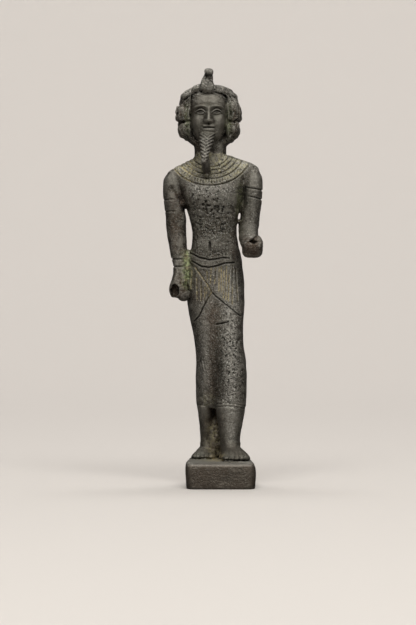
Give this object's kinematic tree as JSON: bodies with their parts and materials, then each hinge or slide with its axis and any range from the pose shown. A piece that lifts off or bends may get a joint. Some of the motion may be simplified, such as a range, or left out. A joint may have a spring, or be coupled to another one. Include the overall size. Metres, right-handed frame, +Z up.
{
  "type": "egyptian god statuette",
  "caption": "A small dark bronze statuette of a striding Egyptian god with a tiered wig, cobra, plaited beard and long kilt, cast in one with its plinth.",
  "frame": {"origin": "centre of the flat underside of the plinth", "axes": "+Z up, the figure faces -Y, and +X is the viewer's right, on the side of its forward hand"},
  "size_m": [0.0361, 0.034, 0.1494],
  "materials": {
    "bronze": "solid cast bronze with an old dark brown patina, rubbed paler on high places, with tan soil and green corrosion in the hollows"
  },
  "bodies": {
    "root": {"statuette": "bronze"}
  },
  "joints": []
}
